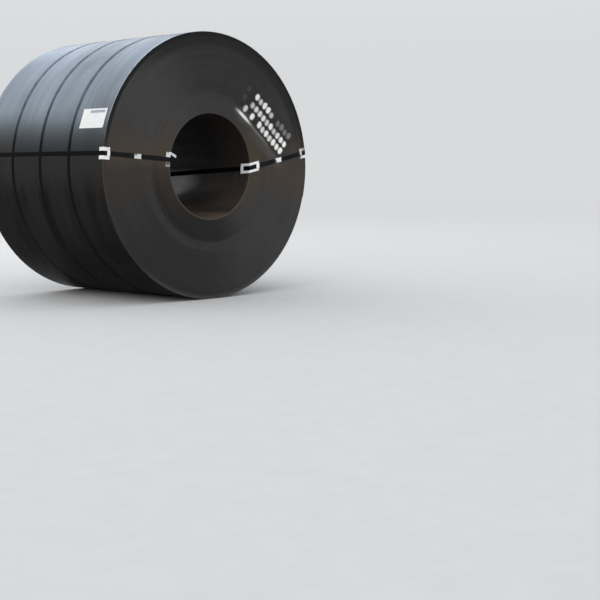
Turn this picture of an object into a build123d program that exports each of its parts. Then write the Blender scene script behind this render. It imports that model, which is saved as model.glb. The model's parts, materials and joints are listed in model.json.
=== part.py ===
from build123d import *
import math
import os

# A hot rolled steel coil, lying with its eye along Y and its front face towards -Y.
# Sizes are in millimetres. Angles are in degrees, counter-clockwise from +X seen from the front.
# The coil is drawn with its eye along Z and its front face on top, and is laid on its side when written.

# The strip, and how it is wound on the mill's mandrel.
strip_thickness = 4.0
strip_width = 1500.0
bore_radius = 381.0

# Groups of turns from the bore outwards: the turns in the group, and how far its last turn has slid
# towards the front, as a share of the longest slide. A group of no turns is a sudden step.
longest_slide = 4.0
turn_groups = (
    (32, 0.0),
    (0, -0.6),
    (12, 1.0),
    (9, 0.3),
    (14, 0.8),
    (8, 0.2),
    (13, 0.65),
    (10, 0.1),
    (11, 0.5),
    (12, 1.0),
    (0, 0.0),
    (25, 0.0),
)

# The gap that shows between two level turns near the bore, by how many turns lie inside it.
gap_turn = 4
gap_depth = 2.5

# Where the strip's outer end and inner end lie, and how far round the next turn takes to close up on them.
tail_angle = -15.0
tail_run = 70.0
head_angle = 190.0
head_run = 45.0

# Steel strapping, and the play with which one piece seats on another.
strap_width = 32.0
strap_thickness = 0.8
seat_gap = 0.05

# Circumferential straps: one halfway along the coil, and one this far from each end.
band_inset = 400.0

# Eye straps: the angles at which each crosses the front bore edge, the front rim and the rear bore edge.
eye_strap_angles = {
    "left": (172.2, 173.9, 172.2),
    "right": (-3.0, 5.4, -14.0),
}

# Corner protectors under the eye straps: leg on the coil's face, leg on its rim or bore, width, and
# length of the guide loop on the face leg, which keeps the protector on its strap. One has no loop.
protector_thickness = 0.9
guide_play = 0.4
common_protector = (95.0, 95.0, 95.0, 22.0)
fitted_protectors = {
    "left_front_outer": (54.0, 46.0, 84.0, 24.0),
    "left_front_bore": (40.0, 95.0, 105.0, 0.0),
    "right_front_outer": (62.0, 95.0, 76.0, 22.0),
    "right_front_bore": (95.0, 95.0, 70.0, 30.0),
}

# Crimped strap seals.
seal_length = 60.0
seal_wall = 1.0
seal_play = 0.3
band_seal_angle = 40.0

# Paper label on the left shoulder of the rim.
label_length = 270.0
label_height = 143.0
label_thickness = 0.3
label_inset = 45.0
label_angle = 159.2

# Sizes that follow from those above.
coil_radius = bore_radius + strip_thickness * sum(turns for turns, share in turn_groups)
front_plane = strip_width / 2
rear_plane = -strip_width / 2
front_crest = front_plane + longest_slide * max(share for turns, share in turn_groups)
rear_crest = rear_plane + longest_slide * min(share for turns, share in turn_groups)
rest_height = coil_radius + seat_gap + strap_thickness

# How far raw shapes run past the coil, and round it, before they are trimmed.
trim_allowance = 20 * strip_thickness
strap_sweep = 60.0


def polar(radius, angle, height=0.0):
    """Point at a radius and an angle round the eye."""
    turn = math.radians(angle)
    return Vector(radius * math.cos(turn), radius * math.sin(turn), height)


def closing_arc(radius, step, angle, run):
    """Centre, radius and start angle of the arc on which a turn closes up on an end of the strip."""
    end_radius = radius + step
    reach = radius - end_radius * math.cos(math.radians(run))
    shift = (radius**2 - end_radius**2) / (2 * reach)
    return polar(shift, angle - run), radius - shift, angle - run


def end_outline(radius, step, angle, run):
    """Circle with an end of the strip on it: a step at an angle, and a run that closes up on it."""
    centre, arc_radius, touch = closing_arc(radius, step, angle, run)
    foot = polar(radius + step, angle)
    span = foot - centre
    turned = math.degrees(math.atan2(span.Y, span.X)) - touch
    turned = (turned + 180) % 360 - 180
    edges = [
        CenterArc((0, 0), radius, angle, math.copysign(360, run) - run),
        CenterArc((centre.X, centre.Y), arc_radius, touch, turned),
        Line(foot, polar(radius, angle)),
    ]
    return make_face(edges)


def taut_outline():
    """Outline that a tight strap takes round the coil: from the tail's edge straight to the turn below."""
    centre, arc_radius, touch = closing_arc(coil_radius, -strip_thickness, tail_angle, tail_run)
    edge = polar(coil_radius, tail_angle)
    span = edge - centre
    edge_turn = math.degrees(math.atan2(span.Y, span.X))
    leave = edge_turn - math.degrees(math.acos(arc_radius / span.length))
    edges = [
        CenterArc((0, 0), coil_radius, tail_angle, 360 - tail_run),
        CenterArc((centre.X, centre.Y), arc_radius, touch, leave - touch),
        Line(centre + polar(arc_radius, leave), edge),
    ]
    return make_face(edges)


def turn_points(plane):
    """Radius and height at the last turn of each group but the outermost, on one end of the coil."""
    points = []
    turn = 0
    for turns, share in turn_groups[:-1]:
        turn += turns
        points.append((bore_radius + turn * strip_thickness, plane + share * longest_slide))
    return points


def gap_section(plane, inwards):
    """Section of the gap that shows between two level turns on one end of the coil."""
    radius = bore_radius + gap_turn * strip_thickness
    corners = [
        (radius - strip_thickness, plane),
        (radius, plane + inwards * gap_depth),
        (radius + strip_thickness, plane),
    ]
    return make_face(Polyline(*corners, close=True))


def coil():
    """The wound strip as one turned solid, with the steps of its turns on both ends."""
    inside = bore_radius - trim_allowance
    outside = coil_radius + trim_allowance
    front = [(inside, front_plane), *turn_points(front_plane), (outside, front_plane)]
    rear = [(inside, rear_plane), *turn_points(rear_plane), (outside, rear_plane)]
    section = make_face(Polyline(*front, *reversed(rear), close=True))
    gaps = gap_section(front_plane, -1) + gap_section(rear_plane, 1)
    turned = revolve(Plane.XZ * (section - gaps), axis=Axis.Z)
    rim = end_outline(coil_radius, -strip_thickness, tail_angle, tail_run)
    bore = end_outline(bore_radius, strip_thickness, head_angle, -head_run)
    wall = extrude(rim - bore, amount=strip_width, both=True)
    return turned & wall


def band_strap(height):
    """One circumferential strap, pulled tight round the coil."""
    inner = offset(taut_outline(), seat_gap)
    outer = offset(taut_outline(), seat_gap + strap_thickness)
    return Pos(0, 0, height - strap_width / 2) * extrude(outer - inner, amount=strap_width)


def eye_strap_section():
    """Section of an eye strap: a tight loop over the corner protectors and the proudest turns."""
    lift = seat_gap + protector_thickness
    inner = bore_radius - lift
    outer = coil_radius + lift
    over_rear = [point for point in turn_points(rear_plane) if point[1] == rear_crest]
    over_front = [point for point in turn_points(front_plane) if point[1] == front_crest]
    loop = [
        (inner, rear_plane - lift),
        *over_rear,
        (outer, rear_plane - lift),
        (outer, front_plane + lift),
        *reversed(over_front),
        (inner, front_plane + lift),
    ]
    taut = make_face(Polyline(*loop, close=True))
    near = offset(taut, seat_gap, kind=Kind.INTERSECTION)
    far = offset(taut, seat_gap + strap_thickness, kind=Kind.INTERSECTION)
    return far - near


def strap_plane(angles):
    """Middle plane of an eye strap, with X along its front run."""
    front_bore, front_rim, rear_bore = angles
    start = polar(bore_radius, front_bore, front_plane)
    along = polar(coil_radius, front_rim, front_plane) - start
    through = polar(bore_radius, rear_bore, rear_plane) - start
    return Plane(origin=start, x_dir=along, z_dir=along.cross(through))


def along_strap(section, angles, width):
    """A section carried round the coil's curve, trimmed to an even width along an eye strap."""
    middle = sum(angles) / len(angles)
    swept = revolve(Plane.XZ * section, axis=Axis.Z, revolution_arc=strap_sweep)
    slab = Box(4 * coil_radius, 4 * strip_width, width)
    return Rot(0, 0, middle - strap_sweep / 2) * swept & (strap_plane(angles) * slab)


def rectangle_between(radii, heights):
    """Rectangle between two radii and two heights."""
    centre = Pos(sum(radii) / 2, sum(heights) / 2)
    return centre * Rectangle(radii[1] - radii[0], abs(heights[1] - heights[0]))


def protector_section(corner, outward, upward, face_leg, side_leg):
    """Section of a corner protector: a leg on the coil's face and a leg on its rim or bore."""
    inner = (corner[0] + outward * seat_gap, corner[1] + upward * seat_gap)
    skin = (inner[0] + outward * protector_thickness, inner[1] + upward * protector_thickness)
    face_end = inner[0] - outward * face_leg
    side_end = inner[1] - upward * side_leg
    outline = [
        (face_end, inner[1]),
        inner,
        (inner[0], side_end),
        (skin[0], side_end),
        skin,
        (face_end, skin[1]),
    ]
    return make_face(Polyline(*outline, close=True))


def arch(radii, foot, head, play, wall, angles):
    """An arch of sheet over an eye strap, between two radii and from its foot up to its head."""
    upward = math.copysign(1, foot)
    passage_width = strap_width + 2 * play
    passage = rectangle_between(radii, (foot, head))
    block = rectangle_between(radii, (foot, head + upward * wall))
    outside = along_strap(block, angles, passage_width + 2 * wall)
    return outside - along_strap(passage, angles, passage_width)


def corner_protector(side, end, place):
    """One bent plate under an eye strap, with the loop that the strap runs through, if it has one."""
    angles = eye_strap_angles[side]
    sizes = fitted_protectors.get(f"{side}_{end}_{place}", common_protector)
    face_leg, side_leg, width, guide_length = sizes
    outward = 1 if place == "outer" else -1
    upward = 1 if end == "front" else -1
    crest = front_crest if end == "front" else rear_crest
    corner = (
        coil_radius if place == "outer" else bore_radius,
        front_plane if end == "front" else rear_plane,
    )
    plate = along_strap(protector_section(corner, outward, upward, face_leg, side_leg), angles, width)
    if not guide_length:
        return plate
    leg_end = corner[0] + outward * (seat_gap - face_leg)
    radii = sorted((leg_end, leg_end + outward * guide_length))
    foot = corner[1] + upward * (seat_gap + protector_thickness)
    head = crest + upward * (seat_gap + strap_thickness + guide_play)
    return plate + arch(radii, foot, head, guide_play, protector_thickness, angles)


def seal_section():
    """Section of a crimped seal over a strap that lies on the X axis: a channel open towards the coil."""
    inside = strap_width + 2 * seal_play
    height = strap_thickness + seal_play
    block = Pos(0, (height + seal_wall) / 2) * Rectangle(inside + 2 * seal_wall, height + seal_wall)
    return block - Pos(0, height / 2) * Rectangle(inside, height)


def band_seal(height):
    """Seal of a circumferential strap, curved with it."""
    section = Pos(coil_radius + seat_gap, height) * Rot(0, 0, -90) * seal_section()
    arc = math.degrees(seal_length / coil_radius)
    return Rot(0, 0, band_seal_angle) * revolve(Plane.XZ * section, axis=Axis.Z, revolution_arc=arc)


def eye_seal(angles):
    """Seal of an eye strap, halfway along its front run."""
    middle = (bore_radius + coil_radius) / 2
    radii = (middle - seal_length / 2, middle + seal_length / 2)
    foot = front_crest + seat_gap
    return arch(radii, foot, foot + strap_thickness + seal_play, seal_play, seal_wall, angles)


def label():
    """Paper label, glued on the outermost turn."""
    height = front_plane - label_inset - label_length / 2
    section = Pos(coil_radius + seat_gap + label_thickness / 2, height) * Rectangle(
        label_thickness, label_length
    )
    arc = math.degrees(label_height / coil_radius)
    return Rot(0, 0, label_angle - arc / 2) * revolve(Plane.XZ * section, axis=Axis.Z, revolution_arc=arc)


def build():
    """Every piece of the coil by its name."""
    pieces = {"coil": coil(), "label": label()}
    bands = {"front": front_plane - band_inset, "middle": 0.0, "rear": rear_plane + band_inset}
    for place, height in bands.items():
        pieces[f"band_strap_{place}"] = band_strap(height)
        pieces[f"band_seal_{place}"] = band_seal(height)
    for side, angles in eye_strap_angles.items():
        pieces[f"eye_strap_{side}"] = along_strap(eye_strap_section(), angles, strap_width)
        pieces[f"eye_seal_{side}"] = eye_seal(angles)
        for end in ("front", "rear"):
            for place in ("outer", "bore"):
                name = f"corner_protector_{side}_{end}_{place}"
                pieces[name] = corner_protector(side, end, place)
    return pieces


os.makedirs("parts", exist_ok=True)
lay_down = Pos(0, 0, rest_height) * Rot(90, 0, 0)
for name, piece in build().items():
    export_step(lay_down * piece, f"parts/{name}.step")
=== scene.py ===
import json
import math
from collections import namedtuple

import bmesh
import bpy
from mathutils import Matrix, Vector, noise


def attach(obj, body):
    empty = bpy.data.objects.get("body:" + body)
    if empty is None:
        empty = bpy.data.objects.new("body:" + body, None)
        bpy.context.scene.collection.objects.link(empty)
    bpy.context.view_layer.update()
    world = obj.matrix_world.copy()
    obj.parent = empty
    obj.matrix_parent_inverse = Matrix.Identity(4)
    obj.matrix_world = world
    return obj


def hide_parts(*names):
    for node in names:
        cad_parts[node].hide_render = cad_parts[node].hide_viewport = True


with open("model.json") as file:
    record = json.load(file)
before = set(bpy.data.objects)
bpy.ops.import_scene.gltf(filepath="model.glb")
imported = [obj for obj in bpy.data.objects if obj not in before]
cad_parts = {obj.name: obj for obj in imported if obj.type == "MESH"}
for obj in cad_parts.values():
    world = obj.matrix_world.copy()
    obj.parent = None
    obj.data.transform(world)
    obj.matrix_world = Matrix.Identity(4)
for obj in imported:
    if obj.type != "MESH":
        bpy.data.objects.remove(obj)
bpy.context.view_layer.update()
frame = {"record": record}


# The wound strip. Hot rolled steel strip with blue-grey mill scale, wound on a mandrel into one
# spiral. Each turn climbs over the strip's inner end, so every turn steps out by one thickness there.
eye = frame["record"]["mounts"][0]
axis_height = eye["pos_m"][2]
bore_radius = eye["dims"]["r_mm"] / 1000
half_width = eye["dims"]["length_mm"] / 2000
strip_thickness = 0.004
turn_count = 146
coil_radius = bore_radius + turn_count * strip_thickness

# Where the strip's outer end and inner end lie, and how far round the next turn takes to close up on
# them. Angles are in degrees, counter-clockwise from +X seen from the front.
tail_angle = -15.0
tail_run = 70.0
head_angle = 190.0
head_run = 45.0

# The coil is made in two spans that meet at the ends of the strip. The one above has a turn more.
above_ends = {"start": tail_angle, "sweep": head_angle - tail_angle, "steps": 57, "turns": turn_count}
below_ends = {
    "start": head_angle,
    "sweep": 360 + tail_angle - head_angle,
    "steps": 43,
    "turns": turn_count - 1,
}

# How far the turns have slid towards the front: by turn, as a share of the longest slide.
longest_slide = 0.004
turn_slides = (
    (0, 0.0),
    (31.7, 0.0),
    (32.3, -0.6),
    (44, 1.0),
    (53, 0.3),
    (67, 0.8),
    (75, 0.2),
    (88, 0.65),
    (98, 0.1),
    (109, 0.5),
    (119, 1.0),
    (122, 0.9),
    (134, 0.0),
    (147, 0.0),
)

# The groove beside each turn, as a share of the turn and a depth, how far the corners of the innermost
# and the outermost turn drop, and the gap that shows beside one turn.
groove_share = 0.13
groove_depth = 0.0011
corner_drop = 0.0004
gap_turn = 4
gap_depth = 0.005

# How uneven the edges are from turn to turn, in slow and quick waves: how many lie in a turn, where
# they lie in the noise, and their share of the whole.
turn_unevenness = 0.0006
uneven_waves = ((2.3, 0.5, 1.0), (7.1, 4.5, 0.5))

# The sway of each end over its whole width: its waves in a metre, how far from the middle the two
# ends lie in the noise, and how many turns by the bore and the rim lie still or are on the way.
sway = 0.0012
sway_waves = 2.4
sway_lane = 3.0
still_by_bore = 10
comes_in_by_bore = 25
still_by_rim = 14
comes_in_by_rim = 20

# How many rows of faces the rim and the bore have, which of the coil's materials each wears, how close
# points are merged, and how far a point may be off a radius or a plane and still lie on it.
side_rows = 6
rim_slot = 1
bore_slot = 2
weld = 2e-5
slack = 1e-5


def on_coil(radius, angle, depth):
    """The point at a radius and an angle round the eye, and a depth behind the coil's middle."""
    turn = math.radians(angle)
    return Vector((radius * math.cos(turn), depth, axis_height + radius * math.sin(turn)))


def from_eye(place):
    """How far a point lies from the eye's axis."""
    return math.hypot(place.x, place.z - axis_height)


def smooth(value):
    """A value cut to 0 to 1 and eased at both ends."""
    value = min(1.0, max(0.0, value))
    return value * value * (3 - 2 * value)


def closed_up(run_so_far, run):
    """How much of its step a turn has closed up, as a share, part of the way along its run."""
    if run_so_far <= 0:
        return 0.0
    return (1 - math.cos(math.radians(run_so_far))) / (1 - math.cos(math.radians(run)))


def inner_radius(span, angle):
    """The radius of the coil's inner side in a span."""
    if span is above_ends:
        return bore_radius
    return bore_radius + strip_thickness * closed_up(head_angle + head_run - angle, head_run)


def outer_radius(span, angle):
    """The radius of the coil's outer side in a span."""
    if span is above_ends:
        return coil_radius
    return coil_radius - strip_thickness * closed_up(angle - 360 - tail_angle + tail_run, tail_run)


def level(winding):
    """How far the strip's edge stands forward, by how many turns have been wound."""
    winding = max(winding, 0.0)
    slid = 0.0
    for (before, low), (after, high) in zip(turn_slides, turn_slides[1:]):
        if before <= winding <= after:
            slid = low + (high - low) * (winding - before) / (after - before)
    uneven = 0.0
    for waves, lane, share in uneven_waves:
        uneven += share * noise.noise(Vector((winding * waves, lane, 0.5)))
    return slid * longest_slide + uneven * turn_unevenness


def proud(turn, winding, end, place):
    """How far a point of a turned end stands out of its plane. end is -1 in front and 1 behind."""
    here = -end * level(winding)
    if turn == int(turn):
        before = -end * level(winding - 1)
        here = min(here, before) - groove_depth
        if turn == gap_turn:
            here -= gap_depth * math.sin(math.pi * min(1.0, max(0.0, winding - gap_turn)))
    reach = smooth((turn - still_by_bore) / comes_in_by_bore)
    reach *= smooth((turn_count - still_by_rim - turn) / comes_in_by_rim)
    wave = noise.noise(Vector((place.x * sway_waves, end * sway_lane, place.z * sway_waves)))
    return here - end * sway * reach * wave


def angle_in(span, place):
    """The angle of a point, on the turn of the circle that the span lies on."""
    middle = span["start"] + span["sweep"] / 2
    angle = math.degrees(math.atan2(place.z - axis_height, place.x))
    return middle + (angle - middle + 180) % 360 - 180


def turned(bm, section, span):
    """Spins a closed section of (radius, depth) points over a span of the circle."""
    start = span["start"]
    verts = [bm.verts.new(on_coil(radius, start, depth)) for radius, depth in section]
    edges = [bm.edges.new(pair) for pair in zip(verts, verts[1:] + verts[:1])]
    bmesh.ops.spin(
        bm,
        geom=verts + edges,
        cent=(0, 0, axis_height),
        axis=(0, -1, 0),
        angle=math.radians(span["sweep"]),
        steps=span["steps"],
        use_merge=False,
    )


def wound_section(turns):
    """The section of a span of the coil, with a groove before and after each turn."""
    steps = [0.0]
    for turn in range(turns):
        steps += [turn + groove_share, turn + 1 - groove_share, turn + 1.0]
    front = [(bore_radius + step * strip_thickness, -half_width) for step in steps]
    rear = [(radius, half_width) for radius, depth in reversed(front)]
    rows = [half_width * (2 * row / side_rows - 1) for row in range(1, side_rows)]
    rim = [(front[-1][0], depth) for depth in rows]
    bore = [(bore_radius, -depth) for depth in rows]
    return front + rim + rear + bore


def joined(bm, made):
    """Moves a made mesh into another."""
    shell = bpy.data.meshes.new("shell")
    made.to_mesh(shell)
    made.free()
    bm.from_mesh(shell)
    bpy.data.meshes.remove(shell)


def capped(bm):
    """Closes the open ends of a mesh."""
    bmesh.ops.holes_fill(bm, edges=[edge for edge in bm.edges if edge.is_boundary], sides=0)


def wind(bm, span):
    """Spins a span of the coil and moves each point to its place on the spiral."""
    made = bmesh.new()
    turned(made, wound_section(span["turns"]), span)
    last = bore_radius + span["turns"] * strip_thickness
    for face in made.faces:
        radii = [from_eye(vert.co) for vert in face.verts]
        if min(radii) > last - slack:
            face.material_index = rim_slot
        elif max(radii) < bore_radius + slack:
            face.material_index = bore_slot
    for vert in made.verts:
        angle = angle_in(span, vert.co)
        turn = round((from_eye(vert.co) - bore_radius) / strip_thickness, 3)
        inside = inner_radius(span, angle)
        outside = outer_radius(span, angle)
        place = on_coil(inside + (outside - inside) * turn / span["turns"], angle, vert.co.y)
        if abs(vert.co.y) > half_width - slack:
            wound = (head_angle - angle) / 360 + (0 if span is above_ends else 1)
            end = math.copysign(1, vert.co.y)
            if 0 < turn < span["turns"]:
                place.y += end * proud(turn, int(turn) + wound, end, place)
            else:
                outermost = min(int(turn), span["turns"] - 1)
                place.y += end * (-end * level(outermost + wound) - corner_drop)
        vert.co = place
    joined(bm, made)


def finished(bm, name, materials, nodes, sharp=35):
    """Makes a mesh a finished piece that stands for its nodes, smooth but for its sharp edges."""
    bmesh.ops.recalc_face_normals(bm, faces=bm.faces)
    for face in bm.faces:
        face.smooth = True
    for edge in bm.edges:
        if len(edge.link_faces) == 2 and edge.calc_face_angle(0) > math.radians(sharp):
            edge.smooth = False
    mesh = bpy.data.meshes.new(name)
    bm.to_mesh(mesh)
    bm.free()
    for material in materials:
        mesh.materials.append(material)
    piece = bpy.data.objects.new(name, mesh)
    bpy.context.scene.collection.objects.link(piece)
    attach(piece, "root")
    if nodes:
        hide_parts(*nodes)


def new_material(name):
    """A material, its node tree and its surface shader."""
    material = bpy.data.materials.new(name)
    material.use_nodes = True
    return material, material.node_tree, material.node_tree.nodes["Principled BSDF"]


def feed(tree, socket, value):
    """Links a socket to another, or sets it to a value. A colour gets its fourth part."""
    if isinstance(value, bpy.types.NodeSocket):
        tree.links.new(value, socket)
    elif socket.type == "RGBA":
        socket.default_value = (*value, 1.0)
    else:
        socket.default_value = value


def plug(tree, made, **sockets):
    """Feeds the sockets of a node by their names."""
    for name, value in sockets.items():
        feed(tree, made.inputs[name.replace("_", " ")], value)


def node(tree, kind, settings=None, **sockets):
    """Adds a node with its settings and feeds its sockets."""
    made = tree.nodes.new(kind)
    for name, value in (settings or {}).items():
        setattr(made, name, value)
    plug(tree, made, **sockets)
    return made


def maths(tree, operation, *values, clamp=False):
    """An operation on numbers or sockets."""
    made = node(tree, "ShaderNodeMath", {"operation": operation, "use_clamp": clamp})
    for socket, value in zip(made.inputs, values):
        feed(tree, socket, value)
    return made.outputs[0]


def times(tree, product, *others):
    """The product of numbers or sockets."""
    for value in others:
        product = maths(tree, "MULTIPLY", product, value)
    return product


def measured(tree, operation, place, other=(0, 0, 0)):
    """An operation on a place and another vector that gives a number."""
    made = node(tree, "ShaderNodeVectorMath", {"operation": operation}, Vector=place)
    feed(tree, made.inputs[1], other)
    return made.outputs["Value"]


def fade(tree, value, low, high, to_low=0.0, to_high=1.0):
    """A smooth change from one number to another as a value goes from low to high."""
    settings = {"interpolation_type": "SMOOTHSTEP"}
    ends = {"From_Min": low, "From_Max": high, "To_Min": to_low, "To_Max": to_high}
    return node(tree, "ShaderNodeMapRange", settings, Value=value, **ends).outputs[0]


def within(tree, value, *edges):
    """1 within the edges of a range and 0 past them. Each edge goes from outside the range to inside."""
    return times(tree, *[fade(tree, value, *edge) for edge in edges])


def blend(tree, factor, first, second):
    """A mix of two colours."""
    made = node(tree, "ShaderNodeMix", {"data_type": "RGBA"})
    for place, value in ((0, factor), (6, first), (7, second)):
        feed(tree, made.inputs[place], value)
    return made.outputs[2]


def cloud(tree, place, scale, detail=4.0, roughness=0.55):
    """A noise that has no direction."""
    made = node(tree, "ShaderNodeTexNoise", Vector=place, Scale=scale, Detail=detail, Roughness=roughness)
    return made.outputs["Fac"]


def relief(tree, surface, height, reach, strength):
    """Gives a surface a fine relief."""
    bump = node(tree, "ShaderNodeBump", Height=height, Distance=reach, Strength=strength)
    plug(tree, surface, Normal=bump.outputs[0])


def centred(tree):
    """Coordinates with their origin at the middle of the coil."""
    coordinates = node(tree, "ShaderNodeTexCoord").outputs["Object"]
    return node(tree, "ShaderNodeMapping", Vector=coordinates, Location=(0, 0, -axis_height)).outputs[0]


# Where a place lies round the eye: its depth, its radius, and its angle's cosine and sine.
RoundPlace = namedtuple("RoundPlace", "depth radius cosine sine")


def round_eye(tree, place):
    """Where a centred place lies round the eye."""
    x, depth, z = node(tree, "ShaderNodeSeparateXYZ", Vector=place).outputs
    radius = maths(tree, "SQRT", maths(tree, "ADD", times(tree, x, x), times(tree, z, z)))
    return RoundPlace(depth, radius, maths(tree, "DIVIDE", x, radius), maths(tree, "DIVIDE", z, radius))


def towards(tree, at, angle):
    """The cosine of the angle between a place's direction from the eye and a given one."""
    turn = math.radians(angle)
    return maths(tree, "ADD", times(tree, at.cosine, math.cos(turn)), times(tree, at.sine, math.sin(turn)))


def streaks(tree, at, across, start, round_scale, across_scale, detail):
    """A noise that is drawn out round the eye, or across it, by the two scales."""
    drawn = node(
        tree,
        "ShaderNodeCombineXYZ",
        X=times(tree, at.cosine, round_scale),
        Y=times(tree, at.sine, round_scale),
        Z=maths(tree, "ADD", times(tree, across, across_scale), start),
    )
    return cloud(tree, drawn.outputs[0], 1.0, detail)


# Tones on groups of turns, some of them painted light and shade, as noted below. Each has the radii
# between which it comes in, and those between which it goes out if it does, the angle round the eye at
# which it is strongest, the cosines between which it comes in on the way there, its least and most
# strength, and its colour.
grey_tone = (0.058, 0.057, 0.055)
turn_tones = (
    # Lighter on the inner turns above the eye: painted light on turns that stand out at a slant.
    ([(0.545, 0.520)], 100, (0.2, 0.9), (0.0, 0.3), grey_tone),
    ([(0.552, 0.572), (0.630, 0.605)], -160, (-0.3, 0.5), (0.0, 0.15), grey_tone),
    # Darker on the inner turns at the lower left: painted shade on the same slanting turns.
    ([(0.563, 0.540)], -120, (0.35, 0.9), (0.0, 0.9), (0.008, 0.007, 0.006)),
    ([(0.60, 0.63)], -120, (0.75, 0.97), (0.0, 0.4), (0.010, 0.010, 0.010)),
    ([(0.845, 0.895)], 68, (0.30, 0.75), (0.0, 0.85), (0.006, 0.006, 0.006)),
)
turn_rings = (
    # A dark ring by the rim on top: painted shade.
    ([(coil_radius - 0.037, coil_radius - 0.025)], 90, (-0.1, 0.4), (0.0, 1.0), (0.003, 0.003, 0.003)),
    # A pale ring by the rim at the bottom: a painted highlight.
    ([(coil_radius - 0.040, coil_radius - 0.006)], -90, (0.68, 0.92), (0.0, 0.45), (0.090, 0.088, 0.085)),
    ([(bore_radius + 0.014, bore_radius + 0.006)], -90, (-0.2, 0.5), (0.1, 0.6), (0.086, 0.074, 0.065)),
)


def on_turns(tree, tone, at, groups):
    """Lays the colours of groups of turns over a tone."""
    for edges, angle, cosines, strengths, colour in groups:
        strength = fade(tree, towards(tree, at, angle), *cosines, *strengths)
        tone = blend(tree, times(tree, within(tree, at.radius, *edges), strength), tone, colour)
    return tone


def dust_and_painted_light_tone(tree, place, at, broad):
    """The dark tone of the turns' edges, with brown dust, rust, lighter patches beside the eye, and painted
    light and shade on some groups of turns.
    """
    steep = maths(tree, "ABSOLUTE", at.sine)
    fine = streaks(tree, at, at.radius, 0.0, 1.6, 1 / strip_thickness, 2.0)
    rays = streaks(tree, at, at.radius, 9.0, 11.0, 3.0, 4.0)
    patches = cloud(tree, place, 2.6, 5.0)
    grain = cloud(tree, place, 160.0, 3.0)
    tone = blend(tree, fade(tree, fine, 0.3, 0.72), (0.015, 0.015, 0.015), (0.027, 0.027, 0.027))
    tone = blend(tree, fade(tree, broad, 0.35, 0.7, 0.0, 0.5), tone, (0.034, 0.033, 0.032))
    tone = blend(tree, fade(tree, rays, 0.45, 0.75, 0.0, 0.4), tone, (0.016, 0.015, 0.015))
    tone = blend(tree, fade(tree, steep, 0.55, 0.10, 0.0, 0.5), tone, (0.037, 0.027, 0.019))
    # Lighter patches on the upper left, above the strap, and on the right of the eye.
    upper_left = fade(tree, towards(tree, at, 150), 0.60, 0.97)
    upper_left = times(tree, upper_left, fade(tree, at.sine, -0.05, 0.10, 0.1, 1.0))
    right_side = fade(tree, towards(tree, at, -22), 0.35, 0.95, 0.0, 0.75)
    beside_eye = maths(tree, "ADD", upper_left, right_side)
    lighter_lobes = times(tree, fade(tree, patches, 0.30, 0.66, 0.6, 1.0), beside_eye, 0.6)
    dust = blend(tree, fade(tree, steep, 0.45, 0.15), grey_tone, (0.080, 0.060, 0.044))
    tone = blend(tree, lighter_lobes, tone, dust)
    tone = on_turns(tree, tone, at, turn_tones)
    brown = times(tree, fade(tree, at.radius, 0.55, 0.45), fade(tree, steep, 0.93, 0.45, 0.0, 0.55))
    drier = maths(tree, "MAXIMUM", fade(tree, at.sine, -0.3, 0.2), fade(tree, at.cosine, 0.3, 0.8, 0.0, 0.8))
    brown_dust = blend(tree, drier, (0.030, 0.018, 0.009), (0.060, 0.040, 0.024))
    tone = blend(tree, brown, tone, brown_dust)
    rust = times(tree, fade(tree, grain, 0.62, 0.75), fade(tree, patches, 0.5, 0.65, 0.0, 0.7))
    tone = blend(tree, rust, tone, (0.11, 0.055, 0.030))
    return on_turns(tree, tone, at, turn_rings)


# Dabs of marking paint on the front, in slanting rows. Each row has its place across the rows, where
# its first dab's cell starts, the number of dabs and how strong the paint is.
row_lean = math.radians(-42.5)
row_along = (math.cos(row_lean), 0.0, math.sin(row_lean))
row_across = (-math.sin(row_lean), 0.0, math.cos(row_lean))
dab_rows = (
    (0.690, -0.015, 5, 1.0),
    (0.687, 0.266, 4, 0.20),
    (0.615, -0.012, 10, 1.0),
    (0.544, -0.050, 1, 0.7),
    (0.544, 0.038, 1, 1.0),
    (0.544, 0.131, 7, 1.0),
    (0.684, -0.113, 1, 0.03),
    (0.606, -0.110, 1, 0.05),
)
row_chance = 17.3

# A dab's cell along its row, its half width as a share of that, its half height, how far chance lifts
# it, how square it is, how small it may be and how much chance adds, and the haze of paint round it.
dab_pitch = 0.0475
dab_half_width = 0.38
dab_half_height = 0.0262
dab_lift = 0.009
dab_squareness = 2.3
smallest_dab = 0.75
dab_growth = 0.35
overspray = 0.34

# The scrape on the eye's side of the rows: its place across them, its half width, and its hook, by how
# fast it bends and where.
scrape_across = 0.491
scrape_half_width = 0.0125
scrape_hook = 0.72
scrape_hook_start = 0.03


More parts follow.
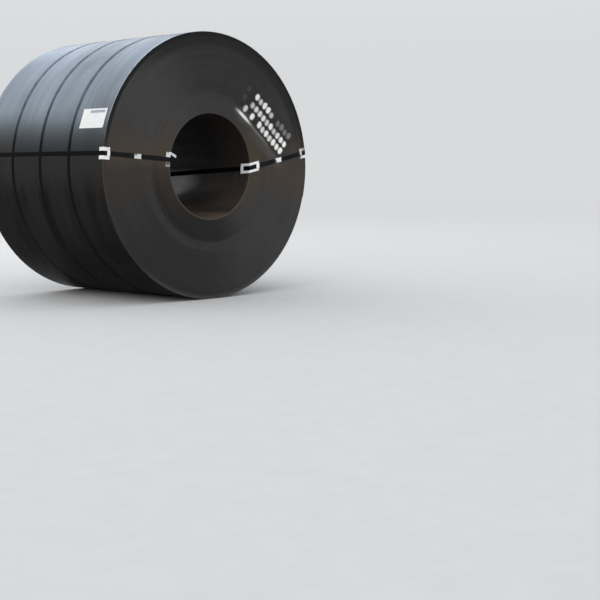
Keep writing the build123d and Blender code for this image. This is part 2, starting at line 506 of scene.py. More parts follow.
def paint_dabs(tree, along, across, ragged):
    """A mask of the dabs of all rows, with ragged edges."""
    total = 0.0
    for row, (middle, start, count, strength) in enumerate(dab_rows):
        cell = maths(tree, "DIVIDE", maths(tree, "SUBTRACT", along, start), dab_pitch)
        number = maths(tree, "FLOOR", cell)
        seed = maths(tree, "ADD", number, row * row_chance)
        chance = node(tree, "ShaderNodeTexWhiteNoise", {"noise_dimensions": "1D"}, W=seed).outputs["Value"]
        sideways = maths(tree, "SUBTRACT", maths(tree, "SUBTRACT", cell, number), 0.5)
        sideways = maths(tree, "ABSOLUTE", maths(tree, "DIVIDE", sideways, dab_half_width))
        lift = times(tree, maths(tree, "SUBTRACT", chance, 0.5), dab_lift)
        height = maths(tree, "SUBTRACT", maths(tree, "SUBTRACT", across, middle), lift)
        height = maths(tree, "ABSOLUTE", maths(tree, "DIVIDE", height, dab_half_height))
        powers = [maths(tree, "POWER", reach, dab_squareness) for reach in (sideways, height)]
        size = maths(tree, "ADD", times(tree, chance, dab_growth), smallest_dab)
        edge = maths(tree, "SUBTRACT", maths(tree, "DIVIDE", maths(tree, "ADD", *powers), size), ragged)
        haze = fade(tree, height, 1.0, 0.2, 0.0, overspray)
        mask = maths(tree, "MAXIMUM", fade(tree, edge, 1.55, 0.45), haze)
        inside = maths(tree, "COMPARE", number, (count - 1) / 2, count / 2)
        thick = fade(tree, chance, 0.0, 0.7, 0.58 * strength, 0.94 * strength)
        thick = maths(tree, "MAXIMUM", thick, fade(tree, along, 0.22, 0.42, 0.0, strength))
        total = maths(tree, "ADD", total, times(tree, mask, inside, thick), clamp=True)
    return total


def scraped_tone(tree, tone, place, along, across, front):
    """A tone with the film of oil that the rows are painted on, a bright scrape and its rubbed side."""
    hook = maths(tree, "MAXIMUM", maths(tree, "SUBTRACT", scrape_hook_start, along), 0.0)
    bent_across = maths(tree, "ADD", across, times(tree, hook, hook, scrape_hook))
    below = maths(tree, "SUBTRACT", scrape_across, bent_across)
    taper = times(tree, fade(tree, along, -0.13, -0.02, 0.45, 1.0), fade(tree, along, 0.0, 0.12, 1.0, 0.45))
    off = maths(tree, "DIVIDE", maths(tree, "ABSOLUTE", below), times(tree, taper, scrape_half_width))
    line = times(tree, fade(tree, off, 1.6, 0.3), within(tree, along, (-0.125, -0.02), (0.36, 0.24)))
    line = times(tree, line, fade(tree, along, 0.12, 0.01, 0.13, 1.0))
    smear = times(tree, fade(tree, off, 6.0, 0.0, 0.0, 0.06), fade(tree, along, 0.4, 0.1))
    ragged = fade(tree, cloud(tree, place, 60.0), 0.25, 0.5, 0.6, 1.0)
    worn = times(tree, maths(tree, "ADD", line, smear), fade(tree, along, -0.13, -0.07), ragged, front)
    rubbed = times(
        tree,
        within(tree, below, (-0.004, 0.010), (0.10, 0.02)),
        within(tree, along, (0.02, 0.30), (0.56, 0.46)),
        0.75,
        front,
    )
    oiled = times(
        tree,
        within(tree, across, (0.490, 0.505), (0.80, 0.68)),
        within(tree, along, (-0.2, 0.0), (0.56, 0.42)),
        0.6,
        front,
    )
    tone = blend(tree, oiled, tone, (0.014, 0.015, 0.014))
    tone = blend(tree, rubbed, tone, (0.078, 0.070, 0.064))
    return blend(tree, worn, tone, (0.80, 0.79, 0.77))


def strip_edges():
    """The dark edges of the turns, with dust, wear, painted light and shade on some turns, a scrape and dabs
    of marking paint.
    """
    material, tree, surface = new_material("strip_edges")
    place = centred(tree)
    at = round_eye(tree, place)
    broad = streaks(tree, at, at.radius, 4.0, 0.7, 24.0, 3.0)
    tone = dust_and_painted_light_tone(tree, place, at, broad)
    front = fade(tree, at.depth, -half_width + 0.03, -half_width + 0.012)
    along = measured(tree, "DOT_PRODUCT", place, row_along)
    across = measured(tree, "DOT_PRODUCT", place, row_across)
    tone = scraped_tone(tree, tone, place, along, across, front)
    ragged = times(tree, maths(tree, "SUBTRACT", cloud(tree, place, 95.0, 3.0), 0.5), 1.6)
    paint = times(tree, paint_dabs(tree, along, across, ragged), front)
    tone = blend(tree, paint, tone, (0.90, 0.89, 0.87))
    rough = fade(tree, broad, 0.3, 0.7, 0.5, 0.68)
    plug(tree, surface, Base_Color=tone, Roughness=rough, Specular_IOR_Level=0.30)
    relief(tree, surface, cloud(tree, place, 420.0, 3.0), 0.0004, 0.5)
    return material


def mill_scale():
    """The strip's rolled side: smooth blue-grey scale with streaks round the coil and faint stains, painted
    light on its upper half, painted shade on its lower half, and pale edges of wear and painted highlight.
    """
    material, tree, surface = new_material("mill_scale")
    place = centred(tree)
    at = round_eye(tree, place)
    drawn = streaks(tree, at, at.depth, 0.0, 1.3, 42.0, 4.0)
    bands = fade(tree, streaks(tree, at, at.depth, 7.0, 0.6, 5.0, 2.0), 0.3, 0.7)
    stains = cloud(tree, place, 1.7, 6.0, 0.6)
    specks = cloud(tree, place, 75.0, 4.0)
    low = blend(tree, bands, (0.014, 0.013, 0.012), (0.028, 0.026, 0.024))
    # The lower tone goes from darkest at the bottom to a mid tone at the sides: painted shade.
    low = blend(tree, fade(tree, at.sine, -0.24, 0.04, 0.0, 0.9), low, (0.042, 0.041, 0.039))
    high = blend(tree, bands, (0.113, 0.130, 0.143), (0.146, 0.167, 0.186))
    # Lighter and bluer on the upper half: painted light.
    pale = fade(tree, at.sine, 0.06, 0.47)
    tone = blend(tree, pale, low, high)
    tone = blend(tree, fade(tree, drawn, 0.45, 0.75, 0.0, 0.18), tone, (0.050, 0.054, 0.060))
    tone = blend(tree, fade(tree, stains, 0.5, 0.72, 0.0, 0.3), tone, (0.085, 0.078, 0.072))
    # Pale edges at both ends, strongest on top: wear and a painted highlight.
    edge = fade(tree, maths(tree, "ABSOLUTE", at.depth), half_width - 0.012, half_width - 0.003)
    chipped = fade(tree, cloud(tree, place, 22.0), 0.3, 0.55, 0.2, 0.9)
    bright = times(tree, edge, chipped, fade(tree, at.sine, 0.1, 0.7, 0.12, 1.0))
    tone = blend(tree, bright, tone, (0.42, 0.45, 0.46))
    rust = times(tree, fade(tree, specks, 0.66, 0.76), fade(tree, stains, 0.5, 0.62, 0.0, 0.6))
    tone = blend(tree, rust, tone, (0.16, 0.085, 0.045))
    # The reflection's tint dims on the lower half: painted shade.
    sheen = blend(tree, pale, (0.52, 0.52, 0.53), (0.87, 0.92, 1.0))
    streaky = fade(tree, drawn, 0.3, 0.75, 0.0, 0.05)
    rough = maths(tree, "ADD", streaky, fade(tree, stains, 0.35, 0.7, 0.26, 0.36))
    plug(tree, surface, Base_Color=tone, Metallic=1.0, Specular_Tint=sheen, Roughness=rough)
    height = maths(tree, "ADD", cloud(tree, place, 260.0, 3.0), times(tree, drawn, 0.6))
    relief(tree, surface, height, 0.0003, 0.10)
    return material


def bore_scale():
    """The strip's side inside the eye: dark loose scale, with brown dust settled on its lower half, painted
    shade on its upper half and in a band low down, and a painted pool of light on its lower wall towards the
    rear.
    """
    material, tree, surface = new_material("bore_scale")
    place = centred(tree)
    at = round_eye(tree, place)
    drawn = streaks(tree, at, at.depth, 3.0, 1.5, 30.0, 4.0)
    patches = streaks(tree, at, at.depth, 5.0, 5.0, 1.4, 6.0)
    tone = blend(tree, fade(tree, drawn, 0.3, 0.7), (0.016, 0.015, 0.015), (0.030, 0.028, 0.027))
    # Darker on the upper half, near black deep in: painted shade.
    upper = blend(tree, fade(tree, at.depth, -0.25, -0.65), (0.002, 0.002, 0.002), (0.016, 0.011, 0.009))
    tone = blend(tree, fade(tree, at.sine, -0.22, -0.05, 0.0, 0.92), tone, upper)
    dust = times(tree, fade(tree, at.sine, 0.0, -0.6), fade(tree, patches, 0.35, 0.7, 0.35, 1.0))
    dust = times(tree, dust, fade(tree, at.depth, 0.35, -0.25, 0.15, 1.0))
    tone = blend(tree, dust, tone, (0.046, 0.034, 0.026))
    shade = within(tree, at.sine, (-0.46, -0.56), (-0.86, -0.72))
    shade = times(tree, shade, fade(tree, at.depth, -0.62, -0.20, 0.0, 0.85))
    tone = blend(tree, shade, tone, (0.003, 0.003, 0.003))
    # A pale patch on the lower wall towards the rear: a painted pool of light.
    slanting = maths(tree, "ADD", at.sine, times(tree, at.depth, 0.8))
    pale = times(tree, fade(tree, at.sine, -0.03, -0.27), fade(tree, slanting, -0.66, -0.48))
    pale = times(tree, pale, fade(tree, at.depth, -0.24, 0.05), fade(tree, patches, 0.3, 0.55, 0.7, 1.0))
    tone = blend(tree, pale, tone, (0.33, 0.325, 0.32))
    tone = blend(tree, fade(tree, at.sine, -0.86, -0.97, 0.0, 0.8), tone, (0.12, 0.088, 0.064))
    rough = fade(tree, patches, 0.3, 0.7, 0.48, 0.66)
    plug(tree, surface, Base_Color=tone, Roughness=rough, Specular_IOR_Level=0.12)
    relief(tree, surface, cloud(tree, place, 240.0, 3.0), 0.0004, 0.4)
    return material


coil_materials = (strip_edges(), mill_scale(), bore_scale())
coil = bmesh.new()
wind(coil, above_ends)
wind(coil, below_ends)
bmesh.ops.remove_doubles(coil, verts=coil.verts, dist=weld)
capped(coil)
finished(coil, "wound_strip", coil_materials, ("coil",), sharp=40)


# The straps round the coil. Blackened steel strapping, pulled tight by a tensioner, so it bridges
# the step at the strip's outer end in a straight line.

# The strapping's width, its thickness and the bevel on its edges, the gap between things that lie on
# one another, and how far the two outer straps are from the coil's faces.
strap_width = 0.032
strap_thickness = 0.0008
strap_edge = 0.0002
seat_gap = 0.00005
band_inset = 0.400
band_depths = {"front": band_inset - half_width, "middle": 0.0, "rear": half_width - band_inset}

# About how far before the strip's outer end a tight strap leaves the turn below, in degrees.
straight_run = 5


def tight_radius(span, angle):
    """The radius of a tight strap's inner side: a straight line just before the strip's outer end."""
    low = outer_radius(below_ends, 360 + tail_angle - straight_run)
    leave = math.degrees(math.acos(low / coil_radius))
    to_tail = 360 + tail_angle - angle
    if span is below_ends and to_tail < leave:
        return low / math.cos(math.radians(leave - to_tail))
    return outer_radius(span, angle)


def strap_black():
    """Dark lacquer on steel strapping, scuffed in places, with painted shade in the eye and on the rim and a
    painted sheen on top of the rim.
    """
    material, tree, surface = new_material("strap_black")
    place = centred(tree)
    at = round_eye(tree, place)
    lacquer = (0.003, 0.003, 0.003)
    patches = cloud(tree, place, 14.0, 4.0)
    scuffs = cloud(tree, place, 220.0, 4.0)
    tone = blend(tree, fade(tree, patches, 0.3, 0.7), lacquer, (0.008, 0.008, 0.009))
    worn = times(tree, fade(tree, scuffs, 0.64, 0.74), fade(tree, patches, 0.5, 0.66))
    tone = blend(tree, worn, tone, (0.10, 0.085, 0.075))
    # Darker and without gloss in the eye, and darker and duller on the rim: painted shade.
    out_of_eye = fade(tree, at.radius, bore_radius, bore_radius + 0.010)
    off_rim = fade(tree, at.radius, coil_radius, coil_radius - 0.006, 0.3, 1.0)
    unshaded_share = times(tree, out_of_eye, off_rim)
    tone = blend(tree, unshaded_share, lacquer, tone)
    # Bluish and metallic on top of the rim: a painted sheen.
    on_rim = fade(tree, at.radius, coil_radius - 0.01, coil_radius)
    painted_sheen = times(tree, fade(tree, at.sine, 0.15, 0.55), on_rim)
    tone = blend(tree, painted_sheen, tone, (0.062, 0.078, 0.098))
    rough = fade(tree, patches, 0.3, 0.7, 0.42, 0.6)
    plug(tree, surface, Base_Color=tone, Metallic=painted_sheen, Roughness=rough, Specular_Tint=(0.85, 0.92, 1.0))
    plug(tree, surface, Specular_IOR_Level=times(tree, unshaded_share, 0.08))
    plug(tree, surface, Coat_Weight=times(tree, unshaded_share, 0.06), Coat_Roughness=0.28)
    relief(tree, surface, scuffs, 0.0001, 0.3)
    return material


strap_material = strap_black()
strap_half = strap_width / 2
strap_low = coil_radius + seat_gap
strap_high = strap_low + strap_thickness
band_section = (
    (strap_low, -strap_half),
    (strap_high - strap_edge, -strap_half),
    (strap_high, strap_edge - strap_half),
    (strap_high, strap_half - strap_edge),
    (strap_high - strap_edge, strap_half),
    (strap_low, strap_half),
)
for band_name, band_depth in band_depths.items():
    band = bmesh.new()
    for span in (above_ends, below_ends):
        made = bmesh.new()
        turned(made, [(radius, band_depth + across) for radius, across in band_section], span)
        for vert in made.verts:
            angle = angle_in(span, vert.co)
            vert.co = on_coil(from_eye(vert.co) - coil_radius + tight_radius(span, angle), angle, vert.co.y)
        joined(band, made)
    bmesh.ops.remove_doubles(band, verts=band.verts, dist=weld)
    finished(band, f"tight_band_{band_name}", (strap_material,), (f"band_strap_{band_name}",))


# The corner protectors. Galvanised sheet bent over the coil's edges under the eye straps. All but one
# have a raised loop on the coil's face that the strap runs through.

# The angles round the eye of each strap: at the eye in front, at the rim in front, and at the eye
# behind. After them, how far the proudest turns stand out of the coil's faces.
eye_strap_angles = {"left": (172.2, 173.9, 172.2), "right": (-3.0, 5.4, -14.0)}
front_crest = longest_slide
rear_crest = 0.6 * longest_slide

# The sheet, the outer radius of its bend, the inner radius of a loop's bends, and a loop's room round
# its strap.
protector_thickness = 0.0009
bend_radius = 0.002
guide_bend = 0.001
guide_play = 0.0004

# Each protector's leg on the face, its leg on the rim or in the bore, its width, and its loop's length.
common_protector = (0.095, 0.095, 0.095, 0.022)
fitted_protectors = {
    "left_front_outer": (0.054, 0.046, 0.084, 0.024),
    "left_front_bore": (0.040, 0.095, 0.105, 0.0),
    "right_front_outer": (0.062, 0.095, 0.076, 0.022),
    "right_front_bore": (0.095, 0.095, 0.070, 0.030),
}

# One has a second loop, on its leg in the bore. One is slit beside its strap, and its upper ear
# stands out from the bore's wall: where the ear starts, how wide the slit is, how far the ear turns
# out, and how far its deep end curls down over how much of its depth.
looped_twice = "right_front_bore"
eared = "left_front_bore"
ear_start = 0.033
ear_slit = 0.001
ear_turn = 63.0
ear_curl = 0.016
curl_reach = 0.04

# The rows of faces in a bend, along a loop and across a strap, the width of a row across a sheet, and
# the least corner that is rounded, in degrees.
bend_steps = 5
guide_steps = 3
strap_steps = 3
sheet_step = 0.012
least_corner = 10


def strap_frame(side):
    """A point on an eye strap's middle plane, that plane's normal, and the side of the eye it is on."""
    front_bore, front_rim, rear_bore = eye_strap_angles[side]
    start = on_coil(bore_radius, front_bore, -half_width)
    along = on_coil(coil_radius, front_rim, -half_width) - start
    through = on_coil(bore_radius, rear_bore, half_width) - start
    normal = along.cross(through).normalized()
    if normal.z < 0:
        normal = -normal
    return start, normal, -1 if side == "left" else 1


def beside_strap(strap, radius, depth, offset):
    """The point at a radius and a depth that lies an offset above an eye strap's middle plane."""
    start, normal, side = strap
    wanted = offset + normal.dot(start) - normal.y * depth - normal.z * axis_height
    lean = math.atan2(normal.z, normal.x)
    swing = math.acos(wanted / (radius * math.hypot(normal.x, normal.z)))
    return on_coil(radius, math.degrees(lean - side * swing), depth)


def rounded(points, radius):
    """The points of a line whose inner corners are arcs. Its ends and faint corners stay as they are."""
    line = [points[0]]
    for before, corner, after in zip(points, points[1:], points[2:]):
        back = (Vector(before) - Vector(corner)).normalized()
        on = (Vector(after) - Vector(corner)).normalized()
        turn = math.pi - back.angle(on)
        if turn < math.radians(least_corner):
            line.append(corner)
            continue
        reach = radius * math.tan(turn / 2)
        centre = Vector(corner) + (back + on).normalized() * (radius / math.cos(turn / 2))
        first = Vector(corner) + back * reach - centre
        last = Vector(corner) + on * reach - centre
        for step in range(bend_steps + 1):
            mixed = first.lerp(last, step / bend_steps)
            line.append(tuple(centre + mixed.normalized() * radius))
    return line + [points[-1]]


def parallel(points, distance, closed=False):
    """A line beside another, at a distance to its right."""
    moved = []
    for index, corner in enumerate(points):
        before = points[index - 1] if index or closed else None
        after = points[(index + 1) % len(points)] if index + 1 < len(points) or closed else None
        first = (Vector(corner) - Vector(before or corner)).normalized()
        second = (Vector(after or corner) - Vector(corner)).normalized()
        across = Vector((first.y, -first.x)) + Vector((second.y, -second.x))
        if before and after:
            across /= 1 + first.dot(second)
        moved.append(tuple(Vector(corner) + across * distance))
    return moved


def drawn_loop(bm, points):
    """A closed wire through points of the XY plane."""
    verts = [bm.verts.new((x, y, 0)) for x, y in points]
    return [bm.edges.new(pair) for pair in zip(verts, verts[1:] + verts[:1])]


def drawn_out(bm, edges, width, steps):
    """Extrudes wire edges along Z to a width, centred on the XY plane."""
    bmesh.ops.translate(bm, verts=bm.verts[:], vec=(0, 0, -width / 2))
    for step in range(steps):
        made = bmesh.ops.extrude_edge_only(bm, edges=edges)["geom"]
        verts = {part for part in made if isinstance(part, bmesh.types.BMVert)}
        edges = [part for part in made if isinstance(part, bmesh.types.BMEdge) and set(part.verts) <= verts]
        bmesh.ops.translate(bm, verts=list(verts), vec=(0, 0, width / steps))


def solid_from(section, width, steps):
    """A closed section extruded along Z, centred on the XY plane."""
    bm = bmesh.new()
    drawn_out(bm, drawn_loop(bm, section), width, steps)
    capped(bm)
    return bm


def placed(bm, place):
    """Moves each point (across, height, along) of a mesh to its place."""
    for vert in bm.verts:
        vert.co = place(*vert.co)
    return bm


def protector_sheet(corner, outward, end, face_leg, side_leg, turn=0.0):
    """The section of a bent sheet over a corner of the coil, by radius and depth."""
    low = (corner + outward * seat_gap, end * (half_width + seat_gap))
    lean = math.radians(turn)
    side_end = (low[0] + outward * side_leg * math.sin(lean), low[1] - end * side_leg * math.cos(lean))
    line = [(low[0] - outward * face_leg, low[1]), low, side_end]
    under = rounded(line, bend_radius - protector_thickness)
    over = rounded(parallel(line, -outward * end * protector_thickness), bend_radius)
    return under + over[::-1]


def sheet_over(strap, section, low, high, curl=0.0):
    """A bent sheet across an eye strap, from one offset to another. Its deep end may curl to the strap."""
    sheet = solid_from(section, high - low, max(2, round((high - low) / sheet_step)))
    for vert in sheet.verts:
        radius, depth, offset = vert.co
        away = min(1.0, max(0.0, abs(half_width - abs(depth)) / curl_reach))
        vert.co = beside_strap(strap, radius, depth, offset + (low + high) / 2 - curl * away * away)
    return sheet


def arch_section(inside, height, wall, radius):
    """The section of an arch over a strap: a bent strip of sheet, open at its foot."""
    half = inside / 2
    top = height + wall
    under = rounded([(-half, 0), (-half, height), (half, height), (half, 0)], radius)
    over = [(-half - wall, 0), (-half - wall, top), (half + wall, top), (half + wall, 0)]
    return under + rounded(over, radius + wall)[::-1]


def guide_loop(length, head):
    """A raised loop along Z, over a strap that lies on the X axis."""
    arch = arch_section(strap_width + 2 * guide_play, head, protector_thickness, guide_bend)
    return solid_from(arch, length, guide_steps)


def face_place(strap, middle, end):
    """Places a loop on a leg that lies on the coil's face."""
    foot = half_width + seat_gap + protector_thickness

    def place(across, height, along):
        return beside_strap(strap, middle + along, end * (foot + height), across)

    return place


def side_place(strap, skin, outward, middle):
    """Places a loop on a leg that lies on the rim or in the bore."""

    def place(across, height, along):
        return beside_strap(strap, skin + outward * height, middle + along, across)

    return place


# Darker and greyer spots on the sheet and the seals in front. Each spot has its X, its height over the
# axis, its reach, its strength and its colour.
dark_spot_tone = (0.060, 0.053, 0.046)
grey_spot_tone = (0.40, 0.41, 0.37)
darker_spots = (
    (-0.667, 0.078, 0.060, 0.40, grey_spot_tone),
    (-0.684, 0.096, 0.016, 0.85, dark_spot_tone),
    (-0.628, 0.075, 0.018, 0.85, dark_spot_tone),
    (-0.375, 0.090, 0.050, 0.30, grey_spot_tone),
    (-0.395, 0.108, 0.012, 0.80, dark_spot_tone),
    (-0.400, 0.010, 0.042, 0.70, dark_spot_tone),
    (-0.402, 0.036, 0.024, 0.90, dark_spot_tone),
    (0.640, 0.020, 0.022, 0.85, dark_spot_tone),
    (0.925, 0.115, 0.055, 0.75, grey_spot_tone),
    (0.955, 0.105, 0.026, 0.65, dark_spot_tone),
    (0.895, 0.060, 0.026, 0.90, dark_spot_tone),
    (0.935, 0.036, 0.018, 0.80, dark_spot_tone),
)


def galvanised():
    """Zinc-coated sheet with a faint spangle, dull in random patches and darker in given spots."""
    material, tree, surface = new_material("galvanised_sheet")
    place = centred(tree)
    spangle = node(tree, "ShaderNodeTexVoronoi", Vector=place, Scale=190.0).outputs["Color"]
    spangle = node(tree, "ShaderNodeSeparateColor", Color=spangle).outputs[0]
    dull = cloud(tree, place, 30.0, 4.0)
    tone = blend(tree, fade(tree, spangle, 0.0, 1.0), (0.78, 0.79, 0.80), (0.88, 0.88, 0.88))
    tone = blend(tree, fade(tree, dull, 0.55, 0.75, 0.0, 0.5), tone, (0.58, 0.56, 0.53))
    for x, z, reach, strength, colour in darker_spots:
        away = measured(tree, "DISTANCE", place, (x, -half_width, z))
        away = maths(tree, "ADD", away, times(tree, dull, 0.4 * reach))
        tone = blend(tree, fade(tree, away, 1.35 * reach, 0.85 * reach, 0.0, strength), tone, colour)
    spangled = fade(tree, spangle, 0.0, 1.0, 0.0, 0.12)
    rough = maths(tree, "ADD", spangled, fade(tree, dull, 0.3, 0.7, 0.30, 0.45))
    plug(tree, surface, Base_Color=tone, Metallic=0.1, Roughness=rough)
    relief(tree, surface, cloud(tree, place, 90.0, 3.0), 0.0004, 0.4)
    return material


protector_material = galvanised()
for side in eye_strap_angles:
    strap = strap_frame(side)
    for end_name, end, crest in (("front", -1, front_crest), ("rear", 1, rear_crest)):
        for corner_name, corner, outward in (("outer", coil_radius, 1), ("bore", bore_radius, -1)):
            name = f"{side}_{end_name}_{corner_name}"
            face_leg, side_leg, width, guide_length = fitted_protectors.get(name, common_protector)
            section = protector_sheet(corner, outward, end, face_leg, side_leg)
            sheet = sheet_over(strap, section, -width / 2, ear_start if name == eared else width / 2)
            if name == eared:
                section = protector_sheet(corner, outward, end, face_leg, side_leg, ear_turn)
                joined(sheet, sheet_over(strap, section, ear_start + ear_slit, width / 2, ear_curl))
            room = seat_gap + strap_thickness + guide_play
            if guide_length:
                middle = corner + outward * (seat_gap - face_leg + guide_length / 2)
                loop = guide_loop(guide_length, crest - seat_gap - protector_thickness + room)
                joined(sheet, placed(loop, face_place(strap, middle, end)))
            if name == looped_twice:
                skin = corner + outward * (seat_gap + protector_thickness)
                middle = end * (half_width + seat_gap - side_leg + guide_length / 2)
                loop = guide_loop(guide_length, room)
                joined(sheet, placed(loop, side_place(strap, skin, outward, middle)))
            node_name = f"corner_protector_{name}"
            finished(sheet, f"bent_sheet_{name}", (protector_material,), (node_name,))


# The eye straps. The same strapping, through the eye and round the outside, over the protectors and
# the turns that stand proudest: two in front and one behind.
front_crest_turns = (44, 121)
rear_crest_turn = 32
run_steps = 40


def strap_loop(distance, radius):
    """An eye strap's line, at a distance outside the coil and its protectors."""
    lift = seat_gap + protector_thickness
    inner = bore_radius - lift
    outer = coil_radius + lift
    front = -(half_width + lift)
    rear = half_width + lift
    loop = [(outer, front), (outer, rear)]
    loop += [(bore_radius + rear_crest_turn * strip_thickness, half_width + rear_crest)]
    loop += [(inner, rear), (inner, front)]
    for turn in front_crest_turns:
        loop += [(bore_radius + turn * strip_thickness, -(half_width + front_crest))]
    loop = parallel(loop, distance, closed=True)
    middle = ((loop[0][0] + loop[-1][0]) / 2, (loop[0][1] + loop[-1][1]) / 2)
    line = rounded([middle] + loop + [middle], radius)[:-1]
    divided = []
    for start, stop in zip(line, line[1:] + line[:1]):
        gap = (Vector(stop) - Vector(start)).length
        parts = max(1, round(gap / (2 * half_width) * run_steps))
        divided += [tuple(Vector(start).lerp(Vector(stop), part / parts)) for part in range(parts)]
    return divided


for side in eye_strap_angles:
    strap = strap_frame(side)
    run = bmesh.new()
    wires = []
    for distance in (seat_gap, seat_gap + strap_thickness):
        wires += drawn_loop(run, strap_loop(distance, bend_radius + distance))
    drawn_out(run, wires, strap_width, strap_steps)
    for z in (-strap_half, strap_half):
        rims = [edge for edge in run.edges if edge.is_boundary and abs(edge.verts[0].co.z - z) < slack]
        bmesh.ops.bridge_loops(run, edges=rims)
    for vert in run.verts:
        vert.co = beside_strap(strap, *vert.co)
    finished(run, f"taut_strap_{side}", (strap_material,), (f"eye_strap_{side}",))


# The strap seals. Steel sleeves closed over the two overlapping ends of a strap and crimped twice.
# The outer end of the strap sticks out beyond its seal.

# A seal's length, its sheet, the inner radius of its bends, its room round the straps, its height
# inside, the rows of faces along it, and the angle of the seals on the straps round the coil.
seal_length = 0.060
seal_wall = 0.001
seal_bend = 0.0006
seal_play = 0.0003
seal_height = 2 * strap_thickness + seal_play
seal_steps = 24
band_seal_angle = 40.0

# The crimps: where they lie along a seal, how far each reaches, and how much narrower and flatter it is.
crimp_places = (-0.014, 0.014)
crimp_reach = 0.005
crimp_depth = 0.12
crimp_flattening = 0.25

# The overlapping end: its lengths to both sides of the seal's middle, how high it lies over the strap
# beneath, and how far its tip lifts.
end_lengths = (0.075, 0.052)
end_gap = 0.0001
end_lift = 0.0016
end_steps = 16


def seal_mesh():
    """A seal along Z, over a strap that lies on the X axis."""
    arch = arch_section(strap_width + 2 * seal_play, seal_height, seal_wall, seal_bend)
    bm = solid_from(arch, seal_length, seal_steps)
    for vert in bm.verts:
        pinch = sum(smooth(1 - abs(vert.co.z - place) / crimp_reach) for place in crimp_places)
        vert.co.x *= 1 - crimp_depth * pinch
        vert.co.y *= 1 - crimp_flattening * pinch * smooth(abs(vert.co.x) / strap_half)
    return bm


def strap_end():
    """The overlapping end of a strap along Z, on top of the strap that lies on the X axis."""
    low = strap_thickness + end_gap
    high = low + strap_thickness
    section = ((-strap_half, low), (-strap_half, high), (strap_half, high), (strap_half, low))
    bm = solid_from(section, sum(end_lengths), end_steps)
    for vert in bm.verts:
        vert.co.z += (end_lengths[0] - end_lengths[1]) / 2
        beyond = max(0.0, vert.co.z - seal_length / 2) / (end_lengths[0] - seal_length / 2)
        vert.co.y += end_lift * beyond * beyond
    return bm


def band_place(depth):
    """Places a seal or an end on a strap round the coil."""

    def place(across, height, along):
        angle = band_seal_angle + math.degrees(along / coil_radius)
        return on_coil(coil_radius + seat_gap + height, angle, depth + across)

    return place


def eye_place(strap):
    """Places a seal or an end on an eye strap, halfway along its front run."""

    def place(across, height, along):
        radius = (bore_radius + coil_radius) / 2 + along
        return beside_strap(strap, radius, -(half_width + front_crest + seat_gap + height), across)

    return place


seats = {f"band_{name}": band_place(depth) for name, depth in band_depths.items()}
seats |= {f"eye_{side}": eye_place(strap_frame(side)) for side in eye_strap_angles}
for seat_name, seat in seats.items():
    kind, where = seat_name.split("_")
    node_name = f"{kind}_seal_{where}"
    seal = placed(seal_mesh(), seat)
    finished(seal, f"crimped_seal_{seat_name}", (protector_material,), (node_name,))
    lapped = placed(strap_end(), seat)
    finished(lapped, f"lapped_end_{seat_name}", (strap_material,), ())


# The label. A sheet of white paper with a tinted heading bar and ruled lines, glued to the outermost
# turn, its corners lifting a little.

# The sheet's size, how far it is from the coil's front, the angle that it is at, how far its corners
# lift, and how close to a corner that starts.
label_length = 0.270
label_height = 0.143
label_thickness = 0.0003
label_inset = 0.045
label_angle = 159.2
corner_lift = 0.0025
corner_sharpness = 8

# The bar and the lines, as shares of the sheet: how far each reaches along it, the bar's lower and
# upper edge, how high the lines go, how many would fill the sheet, and a line's share of its row.
bar_reach = (0.30, 0.92)
bar_edges = ((0.76, 0.78), (0.93, 0.91))
line_reach = (0.07, 0.93)
line_top = 0.7
line_count = 9.0
line_share = 0.12


def label_paper():
    """White paper with its bar and lines, soiled in places."""
    material, tree, surface = new_material("label_paper")
    sheet = node(tree, "ShaderNodeUVMap", {"uv_map": "sheet"}).outputs[0]
    along, up = node(tree, "ShaderNodeSeparateXYZ", Vector=sheet).outputs[:2]
    soil = cloud(tree, sheet, 6.0, 5.0)
    tone = blend(tree, fade(tree, soil, 0.45, 0.8, 0.0, 0.4), (0.83, 0.83, 0.81), (0.66, 0.62, 0.56))
    in_row = maths(tree, "FRACT", times(tree, up, line_count))
    bar = within(tree, up, *bar_edges)
    lines = times(tree, maths(tree, "LESS_THAN", in_row, line_share), maths(tree, "LESS_THAN", up, line_top))
    for mark, (low, high), strength, colour in (
        (bar, bar_reach, 0.8, (0.22, 0.25, 0.36)),
        (lines, line_reach, 0.35, (0.35, 0.35, 0.38)),
    ):
        reach = times(tree, maths(tree, "GREATER_THAN", along, low), maths(tree, "LESS_THAN", along, high))
        tone = blend(tree, times(tree, mark, reach, strength), tone, colour)
    plug(tree, surface, Base_Color=tone, Roughness=fade(tree, soil, 0.3, 0.7, 0.5, 0.7))
    relief(tree, surface, soil, 0.001, 0.3)
    return material


label = bmesh.new()
bmesh.ops.create_grid(label, x_segments=24, y_segments=16, size=0.5)
sheet_layer = label.loops.layers.uv.new("sheet")
for face in label.faces:
    for corner in face.loops:
        corner[sheet_layer].uv = (corner.vert.co.x + 0.5, corner.vert.co.y + 0.5)
bmesh.ops.solidify(label, geom=label.faces[:], thickness=-label_thickness)
for vert in label.verts:
    lift = corner_lift * (abs(2 * vert.co.x) * abs(2 * vert.co.y)) ** corner_sharpness
    depth = label_inset + label_length * (0.5 - vert.co.x) - half_width
    angle = label_angle - math.degrees(vert.co.y * label_height / coil_radius)
    vert.co = on_coil(coil_radius + seat_gap + vert.co.z + lift, angle, depth)
finished(label, "paper_label", (label_paper(),), ("label",))


# The studio. A pale floor that fades into a pale background, soft light from all round and from
# above, a soft lamp behind the coil, and soft daylight from the camera's side.
floor_radius = 60.0
fade_start = 9.0
fade_end = 26.0
horizon_colour = (0.69, 0.70, 0.71)
overhead_colour = (0.88, 0.91, 0.95)
coil_middle = Vector((0.0, 0.0, axis_height))
lamp_place = Vector((0.2, 8.6, 6.2))
daylight_course = Vector((6.0, 6.5, -3.6))


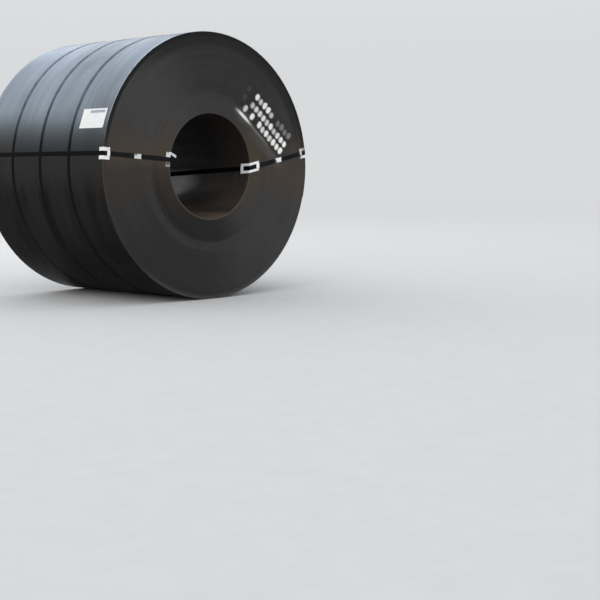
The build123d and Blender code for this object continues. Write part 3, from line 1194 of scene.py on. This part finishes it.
def pale_floor():
    """A plain floor whose far part glows like the background."""
    material, tree, surface = new_material("pale_floor")
    place = centred(tree)
    speckle = fade(tree, cloud(tree, place, 9.0, 6.0), 0.3, 0.7)
    tone = blend(tree, speckle, (0.665, 0.66, 0.65), (0.685, 0.68, 0.67))
    plug(tree, surface, Base_Color=tone, Roughness=0.85, Specular_IOR_Level=0.15)
    glow = node(tree, "ShaderNodeEmission", Color=horizon_colour, Strength=1.0)
    far = fade(tree, measured(tree, "LENGTH", place), fade_start, fade_end)
    mixed = node(tree, "ShaderNodeMixShader", Fac=far)
    tree.links.new(surface.outputs[0], mixed.inputs[1])
    tree.links.new(glow.outputs[0], mixed.inputs[2])
    tree.links.new(mixed.outputs[0], tree.nodes["Material Output"].inputs["Surface"])
    return material


floor = bmesh.new()
bmesh.ops.create_circle(floor, cap_ends=True, segments=64, radius=floor_radius)
floor_mesh = bpy.data.meshes.new("studio_floor")
floor.to_mesh(floor_mesh)
floor.free()
floor_mesh.materials.append(pale_floor())
studio_floor = bpy.data.objects.new("studio_floor", floor_mesh)
bpy.context.scene.collection.objects.link(studio_floor)

world = bpy.data.worlds.new("studio")
bpy.context.scene.world = world
world.use_nodes = True
sky = world.node_tree
direction = node(sky, "ShaderNodeTexCoord").outputs["Generated"]
upward = node(sky, "ShaderNodeSeparateXYZ", Vector=direction).outputs["Z"]
dome = blend(sky, fade(sky, upward, 0.05, 0.30), horizon_colour, overhead_colour)
plug(sky, sky.nodes["Background"], Color=dome, Strength=1.0)

lamp = bpy.data.lights.new("behind", "AREA")
lamp.shape = "ELLIPSE"
lamp.size = 12.5
lamp.size_y = 6.0
lamp.energy = 215.0
lamp.color = (0.96, 0.98, 1.0)
lamp_holder = bpy.data.objects.new("behind", lamp)
lamp_holder.location = lamp_place
lamp_holder.rotation_euler = (coil_middle - lamp_place).to_track_quat("-Z", "Y").to_euler()
lamp_holder.visible_camera = False
bpy.context.scene.collection.objects.link(lamp_holder)

daylight = bpy.data.lights.new("front", "SUN")
daylight.energy = 0.85
daylight.angle = math.radians(50)
daylight.color = (1.0, 0.98, 0.95)
daylight_holder = bpy.data.objects.new("front", daylight)
daylight_holder.rotation_euler = daylight_course.to_track_quat("-Z", "Y").to_euler()
bpy.context.scene.collection.objects.link(daylight_holder)

# The camera has the photograph's viewing angle, from left of the coil's axis and at about its height.
camera_place = (-6.8732, -8.7122, axis_height + 0.0588)
camera_yaw = math.radians(44.262)
camera_pitch = math.radians(-5.677)
camera_roll = math.radians(-0.77)
ahead = Vector(
    (
        math.sin(camera_yaw) * math.cos(camera_pitch),
        math.cos(camera_yaw) * math.cos(camera_pitch),
        math.sin(camera_pitch),
    )
)
level_right = Vector((math.cos(camera_yaw), -math.sin(camera_yaw), 0))
level_up = level_right.cross(ahead)
right = level_right * math.cos(camera_roll) + level_up * math.sin(camera_roll)
up = level_up * math.cos(camera_roll) - level_right * math.sin(camera_roll)
lens = bpy.data.cameras.new("photographer")
lens.sensor_width = 36.0
lens.lens = 86.44
camera = bpy.data.objects.new("photographer", lens)
turned_to = Matrix((right, up, -ahead)).transposed().to_4x4()
camera.matrix_world = Matrix.Translation(camera_place) @ turned_to
bpy.context.scene.collection.objects.link(camera)
bpy.context.scene.camera = camera
bpy.context.scene.view_settings.view_transform = "Standard"
